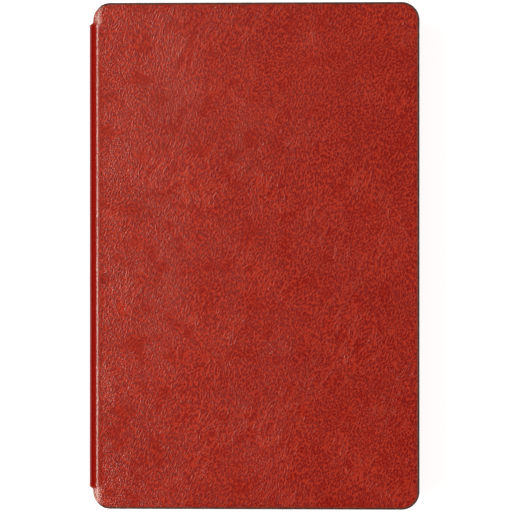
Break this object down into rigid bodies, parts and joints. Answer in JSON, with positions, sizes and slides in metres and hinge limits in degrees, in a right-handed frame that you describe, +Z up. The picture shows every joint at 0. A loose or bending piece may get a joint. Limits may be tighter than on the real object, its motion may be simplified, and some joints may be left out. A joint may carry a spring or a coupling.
{
  "type": "leather notebook cover",
  "caption": "Refillable leather notebook cover with two stiff padded covers, a narrow boarded spine, painted edges and a sewn sleeve inside each cover.",
  "frame": {"origin": "middle of the footprint, on the outer face of the back cover, with the cover closed and lying on its back", "axes": "+X from the spine to the fore edge, +Y to the top edge of the covers, +Z up out of the front cover"},
  "size_m": [0.147, 0.225, 0.02],
  "materials": {
    "leather": "red-brown crinkled grain leather with a waxed, softly glossy surface",
    "sleeve_leather": "smooth red-brown leather, slightly matt",
    "edge_paint": "dark brown edge paint, slightly glossy",
    "lining": "brown brushed microfibre",
    "board": "grey-brown bookbinder's board",
    "padding": "off-white thin felt padding",
    "thread": "dark red-brown waxed polyester thread"
  },
  "bodies": {
    "back_cover": {"back_leather": "leather", "back_padding": "padding", "back_board": "board", "back_lining": "lining", "back_edge_paint": "edge_paint", "back_sleeve_welt_top": "sleeve_leather", "back_sleeve_welt_fore": "sleeve_leather", "back_sleeve_welt_bottom": "sleeve_leather", "back_sleeve": "sleeve_leather", "back_sleeve_thread": "thread"},
    "spine": {"spine_leather": "leather", "spine_board": "board", "spine_lining": "lining", "spine_edge_paint_top": "edge_paint", "spine_edge_paint_bottom": "edge_paint"},
    "front_cover": {"front_leather": "leather", "front_padding": "padding", "front_board": "board", "front_lining": "lining", "front_edge_paint": "edge_paint", "front_sleeve_welt_top": "sleeve_leather", "front_sleeve_welt_fore": "sleeve_leather", "front_sleeve_welt_bottom": "sleeve_leather", "front_sleeve": "sleeve_leather", "front_sleeve_thread": "thread"}
  },
  "joints": [
    {"name": "spine_hinge", "type": "hinge", "parent": "back_cover", "child": "spine", "pos_m": [-0.07243, 0, 0.00107], "axis": [0, -1, 0], "range_deg": [0, 90]},
    {"name": "front_hinge", "type": "hinge", "parent": "spine", "child": "front_cover", "pos_m": [-0.07243, 0, 0.01893], "axis": [0, -1, 0], "range_deg": [0, 90]}
  ]
}
